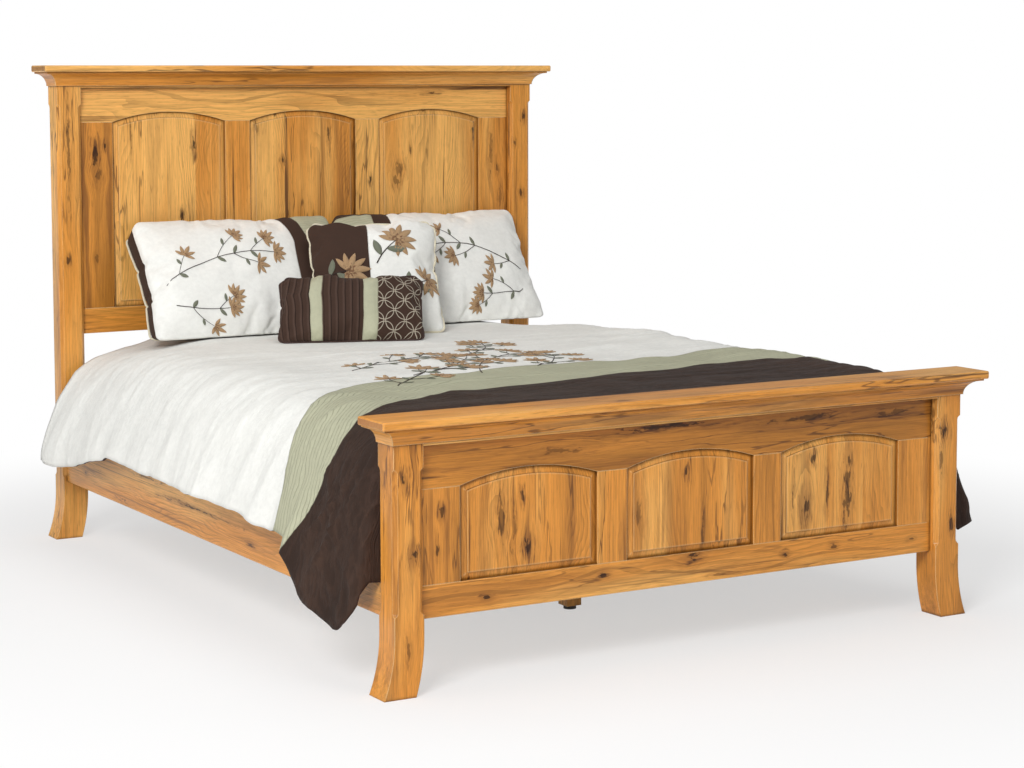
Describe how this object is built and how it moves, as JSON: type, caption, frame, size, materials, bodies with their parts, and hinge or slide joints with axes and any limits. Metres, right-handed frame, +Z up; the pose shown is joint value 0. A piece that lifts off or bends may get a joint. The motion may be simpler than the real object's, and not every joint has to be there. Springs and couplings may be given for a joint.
{
  "type": "bed",
  "caption": "Panel bed in knotty honey-coloured wood with an arched raised-panel headboard and footboard, dressed in a white, sage and brown comforter with shams and cushions",
  "frame": {"origin": "on the floor under the middle of the bed", "axes": "+X across the bed to the right seen from the foot end, +Y along the bed from foot to head, +Z up"},
  "size_m": [1.8394, 2.299, 1.437],
  "materials": {
    "post_wood": "satin clear lacquer, upright grain",
    "rail_wood": "satin clear lacquer, level grain",
    "stile_wood": "satin clear lacquer, upright grain",
    "panel_wood": "satin clear lacquer over glued-up knotty boards",
    "cornice_wood": "satin clear lacquer, level grain",
    "slat_wood": "planed, unfinished",
    "steel": "zinc plated",
    "leveller_plastic": "moulded, matt",
    "ticking": "woven ticking",
    "comforter_fabric": "quilted cotton in white, sage and brown bands with a stitched sprig",
    "sham_fabric": "cotton in white, sage and brown with piping",
    "cushion_fabric": "cotton in brown, white and sage with piping"
  },
  "bodies": {
    "frame": {"headboard_post_left": "post_wood", "headboard_post_right": "post_wood", "headboard_header": "rail_wood", "headboard_top_rail": "rail_wood", "headboard_bottom_rail": "rail_wood", "headboard_stile_outer_left": "stile_wood", "headboard_stile_inner_left": "stile_wood", "headboard_stile_inner_right": "stile_wood", "headboard_stile_outer_right": "stile_wood", "headboard_panel_left": "panel_wood", "headboard_panel_centre": "panel_wood", "headboard_panel_right": "panel_wood", "headboard_cove_front": "cornice_wood", "headboard_cove_left": "cornice_wood", "headboard_cove_right": "cornice_wood", "headboard_cap": "cornice_wood", "footboard_post_left": "post_wood", "footboard_post_right": "post_wood", "footboard_header": "rail_wood", "footboard_top_rail": "rail_wood", "footboard_bottom_rail": "rail_wood", "footboard_stile_outer_left": "stile_wood", "footboard_stile_inner_left": "stile_wood", "footboard_stile_inner_right": "stile_wood", "footboard_stile_outer_right": "stile_wood", "footboard_panel_left": "panel_wood", "footboard_panel_centre": "panel_wood", "footboard_panel_right": "panel_wood", "footboard_cove_front": "cornice_wood", "footboard_cove_left": "cornice_wood", "footboard_cove_right": "cornice_wood", "footboard_cap": "cornice_wood", "side_rail_left": "rail_wood", "side_rail_right": "rail_wood", "ledger_left": "slat_wood", "ledger_right": "slat_wood", "ledger_screws": "steel", "rail_hook_plates": "steel", "post_slot_plates": "steel", "slat_1": "slat_wood", "slat_2": "slat_wood", "slat_3": "slat_wood", "slat_4": "slat_wood", "slat_5": "slat_wood", "slat_6": "slat_wood", "centre_leg_foot": "slat_wood", "centre_leg_head": "slat_wood", "levelling_feet": "leveller_plastic", "foundation": "ticking"},
    "mattress_set": {"mattress": "ticking", "comforter": "comforter_fabric"},
    "sham_right_body": {"sham_right": "sham_fabric"},
    "sham_left_body": {"sham_left": "sham_fabric"},
    "square_cushion_body": {"square_cushion": "cushion_fabric"},
    "oblong_cushion_body": {"oblong_cushion": "cushion_fabric"}
  },
  "joints": [
    {"name": "mattress_lift", "type": "slide", "parent": "frame", "child": "mattress_set", "axis": [0, 0, 1], "range_m": [0, 0.3]},
    {"name": "sham_right_lift", "type": "slide", "parent": "mattress_set", "child": "sham_right_body", "axis": [0, -0.7431, 0.6691], "range_m": [0, 0.35]},
    {"name": "sham_left_lift", "type": "slide", "parent": "sham_right_body", "child": "sham_left_body", "axis": [0, -0.7431, 0.6691], "range_m": [0, 0.35]},
    {"name": "square_cushion_lift", "type": "slide", "parent": "sham_left_body", "child": "square_cushion_body", "axis": [-0.2802, -0.7698, 0.5736], "range_m": [0, 0.35]},
    {"name": "oblong_cushion_lift", "type": "slide", "parent": "square_cushion_body", "child": "oblong_cushion_body", "axis": [-0.2418, -0.6645, 0.7071], "range_m": [0, 0.35]}
  ]
}
